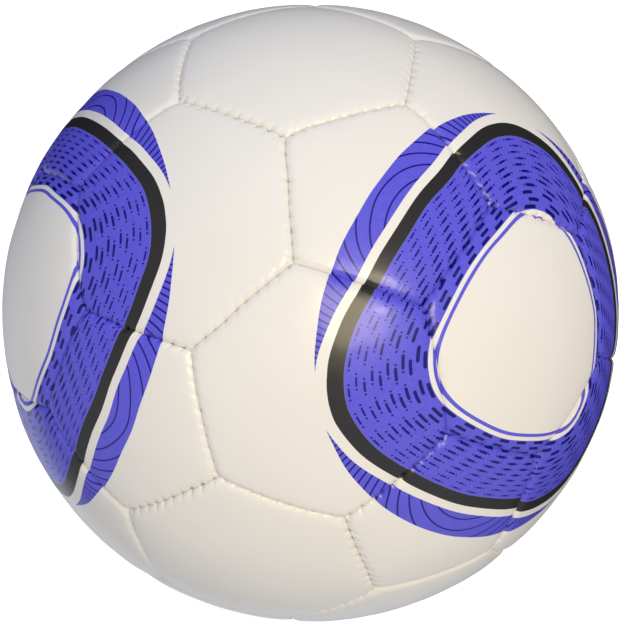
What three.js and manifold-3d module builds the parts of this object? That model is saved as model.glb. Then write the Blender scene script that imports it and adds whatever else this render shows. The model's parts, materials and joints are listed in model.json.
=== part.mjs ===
// A size 5 football: 32 stitched panels over an inflated bladder with a needle valve.
// Millimetres, +Z up, origin at the ball's centre, -Y the front.
import * as THREE from 'three';
import { mergeVertices } from 'three/addons/utils/BufferGeometryUtils.js';
import Module from 'manifold-3d';

// Driving dimensions
const BALL_DIAMETER = 220;
const PANEL_THICKNESS = 2.8; // cover, foam and cloth lining, bonded into one sheet
const SEAM_DROP = 1.2; // depth of a seam line below the crowns of its panels
const SHOULDER_WIDTH = 5; // the rounded shoulder beside each seam
const SHOULDER_BEND = 1 / 3; // where the shoulder bends most, as a share of its width and drop
const CROWN_WIDTH = 20; // from a seam in to the ring that gives the crown its curve
const LINING_EDGE_DROP = 0.6; // the lining dips this far beside a turned-in edge
const ALLOWANCE_DEPTH = 4.4; // seam allowance, turned in towards the centre
const ALLOWANCE_THICKNESS = 2;
const THREAD_DIAMETER = 1.2;
const BLADDER_THICKNESS = 1;
const CLEARANCE = 0.3; // between pieces that touch on the real ball
const VALVE_STEM_DIAMETER = 9;
const VALVE_FLANGE_DIAMETER = 30;
const VALVE_FLANGE_THICKNESS = 1.2;
const VALVE_FLANGE_EDGE = 0.5;
const VALVE_BARREL_LENGTH = 9; // from the bladder's wall inwards
const VALVE_RECESS = 0.5; // the valve's face sits this far below the panel's crown
const CORE_HEAD_DIAMETER = 6.4;
const CORE_HEAD_THICKNESS = 1.5;
const CORE_STEM_DIAMETER = 4.4;
const CORE_BARB_DIAMETER = 5;
const CORE_BARB_LENGTH = 2;
const PATCH_DIAMETER = 30;
const PATCH_THICKNESS = 0.8;

// Places on the ball: a turn from the front in degrees, and a height as a share of the radius
const VALVE_PLACE = [240, -1 / 3];
const PRINT_PLACES = [[60, 1 / 3], [180, 1 / 3], [300, 1 / 3], [0, -1]];

// Facets
const SIDE_STEPS = 3; // along each side of a panel
const VALVE_SIDES = 18;
const BLADDER_SIDES = 24;
const BLADDER_STEPS = 12;
const FLANGE_STEPS = 3;
const FACET_SAG = 0.3; // a straight step along a seam dips this far below its arc
const LINING_SAG = 0.5; // the lining's flat facets dip this far below its sphere

// Worked out from the above
const BALL_RADIUS = BALL_DIAMETER / 2;
const SEAM_RADIUS = BALL_RADIUS - SEAM_DROP;
const LINING_RADIUS = BALL_RADIUS - PANEL_THICKNESS;
const ALLOWANCE_RADIUS = SEAM_RADIUS - ALLOWANCE_DEPTH;
const THREAD_RADIUS = ALLOWANCE_RADIUS - CLEARANCE - THREAD_DIAMETER / 2;
const BLADDER_RADIUS = THREAD_RADIUS - THREAD_DIAMETER / 2 - FACET_SAG - CLEARANCE;
const VALVE_HOLE_RADIUS = VALVE_STEM_DIAMETER / 2 + CLEARANCE;
const VALVE_FACE = BALL_RADIUS - VALVE_RECESS;
const FLANGE_RADIUS = BLADDER_RADIUS + CLEARANCE;
const BARREL_END = BLADDER_RADIUS - BLADDER_THICKNESS - VALVE_BARREL_LENGTH;
const CORE_HEAD_SEAT = VALVE_FACE - CORE_HEAD_THICKNESS;
const CORE_BARB_SEAT = BARREL_END + 2 * CORE_BARB_LENGTH;
const HOLE_CUT_LENGTH = 4 * PANEL_THICKNESS; // long enough to go right through a panel

const GOLDEN_RATIO = (1 + Math.sqrt(5)) / 2;
const UP = new THREE.Vector3(0, 0, 1);
const NEIGHBOUR_COSINE = 0.4; // between two of the icosahedron's neighbouring peaks it is 0.447
const ROW_HEIGHT = 0.01; // panels whose heights differ by less are in one row
const FRONT_MARGIN = 0.001; // of a turn, so that a panel at the very front comes first in its row
const WELD_DISTANCE = 1e-4;
const KEY_STEPS = 1000; // a place on a seam is known by its coordinates to a thousandth

const white = { color: 0xe9e6e0, roughness: 0.38, metalness: 0 };
const partlyPrinted = { color: 0xdcd9e4, roughness: 0.38, metalness: 0 };
const printed = { color: 0x5f54d6, roughness: 0.38, metalness: 0 };
const thread = { color: 0xdedad0, roughness: 0.8, metalness: 0 };
const butyl = { color: 0x1d1d1f, roughness: 0.6, metalness: 0 };
const valveRubber = { color: 0xcfccc4, roughness: 0.55, metalness: 0 };
const coreRubber = { color: 0x2a2a2c, roughness: 0.5, metalness: 0 };
const cloth = { color: 0xd8d2c4, roughness: 0.9, metalness: 0 };

const wasm = await Module();
wasm.setup();

// ---- Joining and cutting closed meshes ----

function toSolid(geometry) {
  const bare = geometry.index ? geometry.toNonIndexed() : geometry.clone();
  bare.deleteAttribute('normal');
  bare.deleteAttribute('uv');
  const merged = mergeVertices(bare, WELD_DISTANCE);
  return new wasm.Manifold(new wasm.Mesh({
    numProp: 3,
    vertProperties: new Float32Array(merged.attributes.position.array),
    triVerts: new Uint32Array(merged.index.array),
  }));
}

function toGeometry(solid) {
  const mesh = solid.getMesh();
  const geometry = new THREE.BufferGeometry();
  geometry.setAttribute('position', new THREE.BufferAttribute(mesh.vertProperties, 3));
  geometry.setIndex(new THREE.BufferAttribute(mesh.triVerts, 1));
  geometry.computeVertexNormals();
  return geometry;
}

// ---- Where the panels lie: a truncated icosahedron with a hexagon on top ----

function cyclicOrders(x, y, z) {
  return [new THREE.Vector3(x, y, z), new THREE.Vector3(z, x, y), new THREE.Vector3(y, z, x)];
}

// Turns the icosahedron's usual axes so that a hexagon faces up and another faces the front
function turnToBallFrame(vector) {
  const up = new THREE.Vector3(1, 1, 1).normalize();
  const front = new THREE.Vector3(1, -1, -1);
  front.addScaledVector(up, -front.dot(up)).normalize();
  const back = front.clone().negate();
  const right = new THREE.Vector3().crossVectors(back, up);
  return new THREE.Vector3(vector.dot(right), vector.dot(back), vector.dot(up));
}

function turnFromFront(vector) {
  const turn = Math.atan2(vector.x, -vector.y) / (2 * Math.PI);
  return (turn + 1 + FRONT_MARGIN) % 1;
}

function fromTheTopDown(a, b) {
  const level = b.centre.z - a.centre.z;
  return Math.abs(level) > ROW_HEIGHT ? level : turnFromFront(a.centre) - turnFromFront(b.centre);
}

function seamCorner(near, far) {
  return near.clone().multiplyScalar(2).add(far).normalize();
}

function aroundCentre(centre, corners) {
  const across = corners[0].clone().addScaledVector(centre, -corners[0].dot(centre)).normalize();
  const along = new THREE.Vector3().crossVectors(centre, across);
  const angle = (corner) => Math.atan2(corner.dot(along), corner.dot(across));
  return [...corners].sort((a, b) => angle(a) - angle(b));
}

function icosahedronPeaks() {
  const peaks = [];
  for (const a of [1, -1]) {
    for (const b of [GOLDEN_RATIO, -GOLDEN_RATIO]) {
      peaks.push(...cyclicOrders(0, b, a).map((peak) => turnToBallFrame(peak).normalize()));
    }
  }
  return peaks;
}

function areNeighbours(a, b) {
  return a !== b && a.dot(b) > NEIGHBOUR_COSINE;
}

// A pentagon sits on a peak, with a corner towards each of the neighbouring peaks
function pentagonOn(peak, peaks) {
  const neighbours = peaks.filter((other) => areNeighbours(peak, other));
  const corners = neighbours.map((other) => seamCorner(peak, other));
  return { centre: peak, corners: aroundCentre(peak, corners) };
}

// A hexagon sits between three peaks, with two corners on each of the edges that join them
function hexagonBetween(a, b, c) {
  const centre = a.clone().add(b).add(c).normalize();
  const pairs = [[a, b], [b, a], [b, c], [c, b], [c, a], [a, c]];
  const corners = pairs.map(([from, to]) => seamCorner(from, to));
  return { centre, corners: aroundCentre(centre, corners) };
}

function layOutPanels() {
  const peaks = icosahedronPeaks();
  const pentagons = peaks.map((peak) => pentagonOn(peak, peaks));
  const hexagons = [];
  for (const [i, a] of peaks.entries()) {
    const afterA = peaks.slice(i + 1).filter((other) => areNeighbours(a, other));
    for (const [j, b] of afterA.entries()) {
      const afterB = afterA.slice(j + 1).filter((other) => areNeighbours(b, other));
      hexagons.push(...afterB.map((c) => hexagonBetween(a, b, c)));
    }
  }
  return { pentagons: pentagons.sort(fromTheTopDown), hexagons: hexagons.sort(fromTheTopDown) };
}

function panelAt(panels, [turnDegrees, height]) {
  const turn = THREE.MathUtils.degToRad(turnDegrees);
  const reach = Math.sqrt(1 - height * height);
  const place = new THREE.Vector3(reach * Math.sin(turn), -reach * Math.cos(turn), height);
  const [nearest] = [...panels].sort((a, b) => b.centre.dot(place) - a.centre.dot(place));
  return nearest;
}

function panelOpposite(panels, { centre }) {
  const [farthest] = [...panels].sort((a, b) => a.centre.dot(centre) - b.centre.dot(centre));
  return farthest;
}

// ---- Panels ----

function alongArc(from, to, share) {
  const axis = new THREE.Vector3().crossVectors(from, to).normalize();
  return from.clone().applyAxisAngle(axis, from.angleTo(to) * share);
}

function outlineOf(panel) {
  const outline = [];
  panel.corners.forEach((corner, i) => {
    const next = panel.corners[(i + 1) % panel.corners.length];
    for (let step = 0; step < SIDE_STEPS; step += 1) {
      outline.push(alongArc(corner, next, step / SIDE_STEPS));
    }
  });
  return outline;
}

// The panel's outline at a radius, drawn in from the seam by an inset
function panelRing(panel, outline, inset, radius) {
  const sideMiddle = panel.corners[0].clone().add(panel.corners[1]).normalize();
  const apothem = BALL_RADIUS * panel.centre.angleTo(sideMiddle);
  const share = 1 - inset / apothem;
  return outline.map((point) => alongArc(panel.centre, point, share).multiplyScalar(radius));
}

function closeRings(top, rings, bottom) {
  const count = rings[0].length;
  const points = [top, ...rings.flat(), bottom];
  const triangles = [];
  for (let i = 0; i < count; i += 1) {
    const next = (i + 1) % count;
    triangles.push(0, 1 + i, 1 + next);
    for (let ring = 0; ring + 1 < rings.length; ring += 1) {
      const here = 1 + ring * count;
      const below = here + count;
      triangles.push(here + i, below + i, below + next);
      triangles.push(here + i, below + next, here + next);
    }
    const last = 1 + (rings.length - 1) * count;
    triangles.push(points.length - 1, last + next, last + i);
  }
  const geometry = new THREE.BufferGeometry().setFromPoints(points);
  geometry.setIndex(triangles);
  geometry.computeVertexNormals();
  return geometry;
}

// One sheet: crown, shoulder, edge turned in at the seam, and the lined inside
function panelGeometry(panel) {
  const outline = outlineOf(panel);
  const ring = (inset, radius) => panelRing(panel, outline, inset, radius);
  const wall = CLEARANCE / 2;
  const lip = wall + ALLOWANCE_THICKNESS;
  const rings = [
    ring(CROWN_WIDTH, BALL_RADIUS),
    ring(SHOULDER_WIDTH, BALL_RADIUS),
    ring(SHOULDER_WIDTH * SHOULDER_BEND, BALL_RADIUS - SEAM_DROP * SHOULDER_BEND),
    ring(wall, SEAM_RADIUS),
    ring(wall, ALLOWANCE_RADIUS),
    ring(lip, ALLOWANCE_RADIUS),
    ring(lip, LINING_RADIUS - LINING_EDGE_DROP),
    ring(CROWN_WIDTH, LINING_RADIUS),
  ];
  const top = panel.centre.clone().multiplyScalar(BALL_RADIUS);
  const bottom = panel.centre.clone().multiplyScalar(LINING_RADIUS);
  return closeRings(top, rings, bottom);
}

function turnTo(axis) {
  return new THREE.Quaternion().setFromUnitVectors(UP, axis);
}

function valveHole(axis) {
  const hole = new THREE.CylinderGeometry(
    VALVE_HOLE_RADIUS, VALVE_HOLE_RADIUS, HOLE_CUT_LENGTH, VALVE_SIDES,
  );
  hole.rotateX(Math.PI / 2);
  hole.translate(0, 0, BALL_RADIUS - PANEL_THICKNESS / 2);
  return hole.applyQuaternion(turnTo(axis));
}

// ---- Stitching: one thread network that follows every seam under the turned-in edges ----

function counterclockwise(middle, points, indices) {
  const directions = indices.map((index) => points[index].clone().normalize());
  const turn = new THREE.Vector3().crossVectors(directions[0], directions[1]);
  turn.add(new THREE.Vector3().crossVectors(directions[1], directions[2]));
  turn.add(new THREE.Vector3().crossVectors(directions[2], directions[0]));
  return turn.dot(middle) > 0 ? indices : [...indices].reverse();
}

// Neighbouring panels work out the same place on their seam, so its rounded coordinates match
function placeKey(place) {
  return place.toArray().map((value) => Math.round(value * KEY_STEPS)).join();
}

// Each panel's outline gives a wall, and strips across the seams join the walls of neighbours
function stitchingGeometry(panels) {
  const half = THREAD_DIAMETER / 2;
  const points = [];
  const triangles = [];
  const quad = (a, b, c, d) => triangles.push(a, b, c, a, c, d);
  const steps = new Map();
  const places = new Map();
  for (const panel of panels) {
    const outline = outlineOf(panel);
    const count = outline.length;
    const first = points.length;
    points.push(...panelRing(panel, outline, half, THREAD_RADIUS + half));
    points.push(...panelRing(panel, outline, half, THREAD_RADIUS - half));
    const keys = outline.map(placeKey);
    outline.forEach((place, i) => {
      const next = (i + 1) % count;
      const here = first + i;
      const there = first + next;
      quad(here, there, there + count, here + count);
      steps.set(`${keys[i]} ${keys[next]}`, { here, there, count });
      const meeting = places.get(keys[i]) ?? { place, outer: [], inner: [] };
      meeting.outer.push(here);
      meeting.inner.push(here + count);
      places.set(keys[i], meeting);
    });
  }
  for (const [key, a] of steps) {
    const b = steps.get(key.split(' ').reverse().join(' '));
    if (a.here < b.here) {
      quad(a.here, b.there, b.here, a.there);
      quad(a.there + a.count, b.here + b.count, b.there + b.count, a.here + a.count);
    }
  }
  for (const { place, outer, inner } of places.values()) {
    if (outer.length === 3) {
      triangles.push(...counterclockwise(place, points, outer));
      triangles.push(...counterclockwise(place.clone().negate(), points, inner));
    }
  }
  const geometry = new THREE.BufferGeometry().setFromPoints(points);
  geometry.setIndex(triangles);
  geometry.computeVertexNormals();
  return geometry;
}

// ---- Bladder and valve, turned about the valve's axis ----

function lathe(profile, sides) {
  const geometry = new THREE.LatheGeometry(profile, sides);
  geometry.rotateX(Math.PI / 2);
  return geometry;
}

function arcPoints(radius, fromAngle, toAngle, steps) {
  const points = [];
  for (let step = 0; step <= steps; step += 1) {
    const angle = fromAngle + ((toAngle - fromAngle) * step) / steps;
    points.push(new THREE.Vector2(radius * Math.sin(angle), radius * Math.cos(angle)));
  }
  return points;
}

function bladderGeometry() {
  const inner = BLADDER_RADIUS - BLADDER_THICKNESS;
  const mouth = Math.asin(VALVE_HOLE_RADIUS / inner);
  const outside = arcPoints(BLADDER_RADIUS, Math.PI, mouth, BLADDER_STEPS);
  const inside = arcPoints(inner, mouth, Math.PI, BLADDER_STEPS);
  outside[0].x = 0;
  inside[inside.length - 1].x = 0;
  return lathe([...outside, ...inside], BLADDER_SIDES);
}

// Moulded rubber: a flange on the bladder, a boss out to the panel and a barrel inwards
function valveBodyGeometry() {
  const stem = VALVE_STEM_DIAMETER / 2;
  const bore = CORE_BARB_DIAMETER / 2 + CLEARANCE;
  const counterbore = CORE_HEAD_DIAMETER / 2 + CLEARANCE;
  const counterboreSeat = CORE_HEAD_SEAT - CLEARANCE;
  const reach = VALVE_FLANGE_DIAMETER / 2;
  const crown = VALVE_STEM_DIAMETER;
  const top = FLANGE_RADIUS + VALVE_FLANGE_THICKNESS;
  const edge = FLANGE_RADIUS + VALVE_FLANGE_EDGE;
  const from = Math.asin(stem / FLANGE_RADIUS);
  const to = Math.asin(reach / FLANGE_RADIUS);
  const profile = [
    new THREE.Vector2(bore, BARREL_END),
    new THREE.Vector2(stem, BARREL_END),
    ...arcPoints(FLANGE_RADIUS, from, to, FLANGE_STEPS),
    new THREE.Vector2(reach, Math.sqrt(edge * edge - reach * reach)),
    new THREE.Vector2(crown, Math.sqrt(top * top - crown * crown)),
    new THREE.Vector2(stem, top + VALVE_FLANGE_THICKNESS),
    new THREE.Vector2(stem, VALVE_FACE),
    new THREE.Vector2(counterbore, VALVE_FACE),
    new THREE.Vector2(counterbore, counterboreSeat),
    new THREE.Vector2(bore, counterboreSeat),
  ];
  return lathe([...profile, profile[0].clone()], VALVE_SIDES);
}

// Push-in plug: flat head, stem, and a barb at its inner end
function valveCoreGeometry() {
  const head = CORE_HEAD_DIAMETER / 2;
  const stem = CORE_STEM_DIAMETER / 2;
  const barb = CORE_BARB_DIAMETER / 2;
  const profile = [
    new THREE.Vector2(0, BARREL_END),
    new THREE.Vector2(stem / 2, BARREL_END),
    new THREE.Vector2(barb, BARREL_END + CORE_BARB_LENGTH),
    new THREE.Vector2(stem, CORE_BARB_SEAT),
    new THREE.Vector2(stem, CORE_HEAD_SEAT),
    new THREE.Vector2(head, CORE_HEAD_SEAT),
    new THREE.Vector2(head, VALVE_FACE),
    new THREE.Vector2(0, VALVE_FACE),
  ];
  return lathe(profile, VALVE_SIDES);
}

// Cloth ring bonded inside the valve's panel, so that the hole doesn't tear
function patchGeometry() {
  const outer = LINING_RADIUS - LINING_SAG - CLEARANCE;
  const inner = outer - PATCH_THICKNESS;
  const from = Math.asin(VALVE_HOLE_RADIUS / outer);
  const to = Math.asin(PATCH_DIAMETER / 2 / outer);
  const profile = [
    ...arcPoints(inner, from, to, FLANGE_STEPS),
    ...arcPoints(outer, to, from, FLANGE_STEPS),
  ];
  return lathe([...profile, profile[0].clone()], VALVE_SIDES);
}

// ---- The ball ----

const ball = new THREE.Group();

function add(name, geometry, finish, parent = ball) {
  const mesh = new THREE.Mesh(geometry, new THREE.MeshStandardMaterial(finish));
  mesh.name = name;
  parent.add(mesh);
  return mesh;
}

const { pentagons, hexagons } = layOutPanels();
const panels = [...hexagons, ...pentagons];

// The print spreads from four hexagons, and the four that lie opposite them stay plain
const printCentres = PRINT_PLACES.map((place) => panelAt(hexagons, place));
const plainHexagons = printCentres.map((panel) => panelOpposite(hexagons, panel));
const valvePanel = panelAt(hexagons, VALVE_PLACE);

hexagons.forEach((panel, i) => {
  let geometry = panelGeometry(panel);
  if (panel === valvePanel) {
    geometry = toGeometry(toSolid(geometry).subtract(toSolid(valveHole(panel.centre))));
  }
  const finish = plainHexagons.includes(panel) ? white : partlyPrinted;
  add(`hex_panel_${String(i + 1).padStart(2, '0')}`, geometry, finish);
});
pentagons.forEach((panel, i) => {
  add(`pent_panel_${String(i + 1).padStart(2, '0')}`, panelGeometry(panel), printed);
});
add('stitching_thread', stitchingGeometry(panels), thread);

const valveAssembly = new THREE.Group();
valveAssembly.quaternion.copy(turnTo(valvePanel.centre));
ball.add(valveAssembly);
add('bladder', bladderGeometry(), butyl, valveAssembly);
add('valve_body', valveBodyGeometry(), valveRubber, valveAssembly);
add('valve_core', valveCoreGeometry(), coreRubber, valveAssembly);
add('valve_patch', patchGeometry(), cloth, valveAssembly);

export default ball;
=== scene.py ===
import json
import math
from collections import namedtuple
from itertools import combinations, permutations

import bpy
import numpy as np
from mathutils import Matrix, Vector


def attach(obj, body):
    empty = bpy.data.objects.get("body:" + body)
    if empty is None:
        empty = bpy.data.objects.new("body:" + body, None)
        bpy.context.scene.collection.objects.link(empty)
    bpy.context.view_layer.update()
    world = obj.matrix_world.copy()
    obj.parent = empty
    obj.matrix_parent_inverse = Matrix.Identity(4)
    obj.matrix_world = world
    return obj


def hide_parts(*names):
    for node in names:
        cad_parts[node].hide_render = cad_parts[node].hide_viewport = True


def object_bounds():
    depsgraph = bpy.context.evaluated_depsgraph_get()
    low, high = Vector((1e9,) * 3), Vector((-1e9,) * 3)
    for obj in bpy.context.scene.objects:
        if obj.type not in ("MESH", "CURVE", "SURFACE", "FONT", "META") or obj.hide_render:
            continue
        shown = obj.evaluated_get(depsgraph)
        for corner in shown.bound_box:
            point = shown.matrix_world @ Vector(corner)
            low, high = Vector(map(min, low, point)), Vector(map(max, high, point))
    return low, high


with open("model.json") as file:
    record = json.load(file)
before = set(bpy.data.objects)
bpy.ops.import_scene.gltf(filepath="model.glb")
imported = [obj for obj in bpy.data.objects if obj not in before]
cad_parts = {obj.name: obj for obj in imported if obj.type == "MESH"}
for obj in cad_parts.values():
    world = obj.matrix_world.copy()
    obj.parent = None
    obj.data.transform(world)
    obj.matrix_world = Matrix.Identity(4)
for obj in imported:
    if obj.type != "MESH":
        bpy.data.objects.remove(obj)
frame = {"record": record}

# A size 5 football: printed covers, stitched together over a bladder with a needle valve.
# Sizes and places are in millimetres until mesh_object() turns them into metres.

CAD_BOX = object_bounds()

# ---- Sizes, as in the CAD model ----

MM = 0.001
BALL_RADIUS = (CAD_BOX[1].z - CAD_BOX[0].z) / 2 / MM
SEAM_DROP = 1.2  # depth of a seam line below the crowns of its panels
PANEL_THICKNESS = 2.8
ALLOWANCE_DEPTH = 4.4  # seam allowance, turned in towards the centre
ALLOWANCE_THICKNESS = 2.0
THREAD_DIAMETER = 1.2
GAP = 0.3  # between pieces that touch on the real ball
FACET_SAG = 0.3  # a straight step along a CAD seam dips this far below its arc
LINING_SAG = 0.5  # the CAD lining's flat facets dip this far below its sphere
BLADDER_THICKNESS = 1.0
STEM_RADIUS = 4.5
FLANGE_REACH, FLANGE_THICKNESS, FLANGE_EDGE = 15.0, 1.2, 0.5
BARREL_LENGTH = 9.0
CORE_HEAD_RADIUS, CORE_HEAD_THICKNESS = 3.2, 1.5
CORE_STEM_RADIUS, CORE_BARB_RADIUS, CORE_BARB_LENGTH = 2.2, 2.5, 2.0
PATCH_REACH, PATCH_THICKNESS = 15.0, 0.8

WALL = GAP / 2  # from the middle of a seam to each turned-in edge
LINING_RADIUS = BALL_RADIUS - PANEL_THICKNESS
ALLOWANCE_RADIUS = BALL_RADIUS - SEAM_DROP - ALLOWANCE_DEPTH
THREAD_RADIUS = ALLOWANCE_RADIUS - GAP - THREAD_DIAMETER / 2
BLADDER_RADIUS = THREAD_RADIUS - THREAD_DIAMETER / 2 - FACET_SAG - GAP
HOLE_RADIUS = STEM_RADIUS + GAP
FLANGE_RADIUS = BLADDER_RADIUS + GAP
BARREL_END = BLADDER_RADIUS - BLADDER_THICKNESS - BARREL_LENGTH
PATCH_OUTER = LINING_RADIUS - LINING_SAG - GAP
GOLDEN_RATIO = (1 + math.sqrt(5)) / 2

# ---- The cover's shape ----

LIP_DROP, LIP_WIDTH, LIP_CURVE = 0.6, 2.4, 1.8  # the roll into a seam
LIP_GAP = 0.012  # the lips of two panels all but touch between stitches
CREASE_DROP, CREASE_WIDTH = 0.16, 0.55  # the tight crease at the bottom of the roll
SHOULDER_DROP, SHOULDER_REACH = 0.6, 3.2  # the broad, soft fall towards it
CORNER_DROP, CORNER_REACH = 0.5, 2.4  # the extra dip where three panels meet
COVER_INSET = 0.05  # below the CAD crowns, to make room for most of the swells
SWELLS = ((0.09, 34, 21), (0.035, 9, 22))  # slight unevenness: a height, a wavelength and a seed
PUCKER, PUCKER_REACH = (0.05, 3.2, 23), 2.5  # the same, but only beside the seams
SIDE_POWER = 5.0  # a higher power makes the crown follow the panel's corners more sharply
SMALLEST_DISTANCE = 0.05  # a side counts as at least this far away, which keeps its power finite
SEAM_WANDER, WANDER_WAVE = 0.25, 24  # how far the seams wander, and over what wavelength
WANDER_SEEDS = (11, 12, 13)
STILL_REACH, STILL_EASE = 8.4, 14.0  # nothing wanders near the valve, so that its hole stays round

STITCHES_PER_SIDE = 10
STITCH_STRAY = 0.012  # as a share of the side
PINCH_DROP = 1.45
PINCH_LENGTH, PINCH_REACH = 0.75, 0.95  # how far a stitch's pull reaches along and across the seam
PINCH_SLANT = 0.6  # how much a pull leans along the seam
PINCH_GAP, GAP_REACH = 0.1, 0.7  # how far a stitch holds the lips apart
WALL_OPENING, OPENING_LOSS = 0.3, 0.3  # and the turned-in edges, with the share lost at their tips
STITCH_PULLS = (0.5, 1.1)  # how hard the stitches of one seam pull, against each other
SEAM_STRENGTHS = (0.2, 1.0)  # how hard a seam's stitches pull as a whole
SEAM_SEED = 500
# Some seams' strengths are set, by the seam's number in the order that the panels come to it.
SET_STRENGTHS = {
    0: 0.9, 1: 0.3, 4: 0.95, 7: 0.3, 8: 0.7, 17: 0.3, 18: 0.6, 24: 0.25, 25: 0.5, 44: 0.6,
    48: 0.6, 49: 0.95, 50: 1.0, 51: 0.3, 75: 0.2,
}

# Each panel's rings of points: how far from its sides they are. The inner ones have a point at
# every second or fourth step of the outline.
STEPS_PER_SIDE = 120
OUTER_RINGS = (0, 0.03, 0.1, 0.21, 0.36, 0.54, 0.76, 1.02, 1.32, 1.68, 2.1, 2.6, 3.2, 4.0)
HALF_RINGS, HALF = (5.0, 6.4, 8.4), 2
QUARTER_RINGS, QUARTER = (11, 14, 17.5, 21, 24.5, 28, 31.5), 4
ROUND_FROM, ROUND_OVER = 8, 20  # rings further in than this turn from the panel's shape to a circle
MIDDLE_CLEARANCE = 2.5  # no ring is nearer to the panel's middle
HOLE_CLEARANCE = 13.0  # and in the panel with the valve's hole, apart from the round ones there
HOLE_RINGS = (8.0, 11.0)
RIM_ROUNDING, RIM_TURNS = 0.5, (0, 30, 60, 90)  # the hole's rounded rim, in degrees from its wall
EDGE_SHARES = (0.15, 0.45, 0.75, 0.95)  # how far down the turned-in edge its rings are
EDGE_ROUNDING = 0.25
LINING_RISES = ((5, 0.35), (8, 0.5))  # the lining rises from its edge: a distance in, and a height

# The thread's two plies, and its loop at each stitch
STRAND_RADIUS, STRAND_STEPS, STRAND_CORNERS = 0.29, 30, 6
LOOP_RADIUS, LOOP_TOP, LOOP_BEND, LOOP_STEPS, LOOP_CORNERS = 0.2, 106.7, 0.3, 7, 5

# ---- The print ----

# Where the motifs' middles are: a turn from the front in degrees, and a height as a share of the
# radius. The panels opposite them are plain.
PRINT_PLACES = ((60, 1 / 3), (180, 1 / 3), (300, 1 / 3), (0, -1))
PRINT_DRIFT, DRIFT_SEED = 0.5, 77  # how far a panel's print may be out of line with its neighbours'
# Panels whose print was cut well out of line: how far towards the east and towards the top
PRINT_MOVES = {
    "hex_panel_02": (-1.5, -1.5),
    "hex_panel_04": (1.5, -0.5),
    "hex_panel_05": (0.5, 0.0),
    "hex_panel_06": (1.0, -0.5),
    "hex_panel_12": (-1.0, -1.5),
    "pent_panel_01": (0.5, -0.5),
    "pent_panel_06": (1.0, 1.0),
}

# A motif's edges, from its middle along a contour's mean radius
WINDOW_EDGE, LINE_EDGE, BAND_START, BAND_END = 36.7, 38.0, 39.6, 64.8
DARK_END, PALE_END = 69.7, 73.1
CORNER_SWELL, CORNER_POINT = 0.106, 0.017  # how much its contours reach out at the three corners
CRESCENT_EDGE, CRESCENT_SWELL = 78.9, 2.4

# Rows of dashes and dots follow the band. The dashes get shorter and thinner from row to row.
ROW_SPACING, ROW_START, ROW_MIDDLE = 2.3, 0.1, 0.4  # the last two as shares of the spacing
ROW_SHIFT = 0.21  # as a share of a dash's pitch
DASH_PITCH = 9.6
DASH_HALF_LENGTH, DASH_SHORTENING = 1.95, 0.75
DASH_HALF_WIDTH, DASH_THINNING = 0.62, 0.3
FADE_ROWS = 9
DOT_DISTANCE, DOT_RADIUS, ROWS_BEFORE_DOTS = 1.25, 0.36, 2.5
MARK_BLUR, EDGE_BLUR = 0.16, 0.12

# Flowing lines cross the crescents, and bend more the further they are from a crescent's middle.
FLOW_RADIUS = 75
FLOW_RISE, FLOW_BEND, FLOW_CURL = 0.18, 0.0026, 0.000022
FLOW_HALF_WIDTH = 0.3


def srgb(*channels):
    return tuple(
        ((c / 255 + 0.055) / 1.055) ** 2.4 if c > 10 else c / 255 / 12.92 for c in channels
    )


WHITE, WHITE_SHADE = srgb(236, 233, 226), srgb(228, 224, 216)
BLUE, BLUE_LIGHT = srgb(84, 78, 208), srgb(102, 98, 228)
INK, INK_DARK = srgb(4, 0, 128), srgb(0, 8, 108)
CHARCOAL = srgb(43, 42, 43)
# Painted shade along the seams. The colour is multiplied towards this darker colour by this amount,
# within this distance of a seam and over this blur, in place of the shade in the crease.
PAINTED_CREASE_SHADE, PAINTED_SHADE_AMOUNT = srgb(150, 140, 120), 0.15
PAINTED_SHADE_WIDTH, PAINTED_SHADE_BLUR = 0.3, 0.5

# ---- The studio ----

FLOOR_SIZE, FLOOR_GREY, FLOOR_GLOW = 12.0, 0.6, 0.82

# The light from all round. How far north a direction points, from -1 to 1, says how far it is
# behind the ball. Edges and blurs are in this measure, or in the same one for up, at the horizon,
# or for the way to the reflector.
SKY_LIGHT, GROUND_LIGHT, HORIZON_BLUR = (0.475, 0.45, 0.48), (0.65, 0.68, 0.75), 0.3
BACK_LIGHT, BACK_EDGE, BACK_BLUR = 0.6, 0.35, 0.5  # how much stronger it is behind the ball
GLOSS_LIGHT, GLOSS_BLUR = 0.6, 0.8  # the ball's gloss reflects this much of what is in front of it
REFLECTOR_EAST, REFLECTOR_UP = -0.5, -0.87  # the way to a reflector that stands low behind the ball
REFLECTOR_EDGE, REFLECTOR_BACK_EDGE, REFLECTOR_BLUR = 0.7, 0.3, 0.3

CAMERA_AZIMUTH, CAMERA_ELEVATION, CAMERA_ROLL = 14.53, 34.49, -2.98
CAMERA_DISTANCE = 0.946
CAMERA_LENS, CAMERA_SENSOR = 151.9, 36
CAMERA_SHIFT = (0.0034, 0.0003)


def unit(v):
    v = np.asarray(v, float)
    return v / np.linalg.norm(v, axis=-1, keepdims=True)


needle_seat = next(m for m in frame["record"]["mounts"] if m["name"] == "pump_needle_seat")
VALVE_AXIS = unit(needle_seat["axis"])
VALVE_FACE = float(np.linalg.norm(needle_seat["pos_m"])) / MM
HEAD_SEAT = VALVE_FACE - CORE_HEAD_THICKNESS


# ---- Where the panels lie: a truncated icosahedron with a hexagon on top ----

NEIGHBOUR_COSINE = 0.4  # between two of the icosahedron's neighbouring peaks it is 0.447
FRONT_MARGIN = 0.001  # of a turn, so that a panel at the very front comes first in its row


class Panel:
    """The directions of a panel's middle and of its corners, which go round it in order."""

    def __init__(self, middle, corners):
        across = unit(corners[0] - corners[0] @ middle * middle)
        along = np.cross(middle, across)
        self.middle = middle
        self.corners = np.array(sorted(corners, key=lambda c: math.atan2(c @ along, c @ across)))
        self.sides = []

    def ends(self):
        """The two corners of each side."""
        return zip(self.corners, np.roll(self.corners, -1, axis=0))


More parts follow.
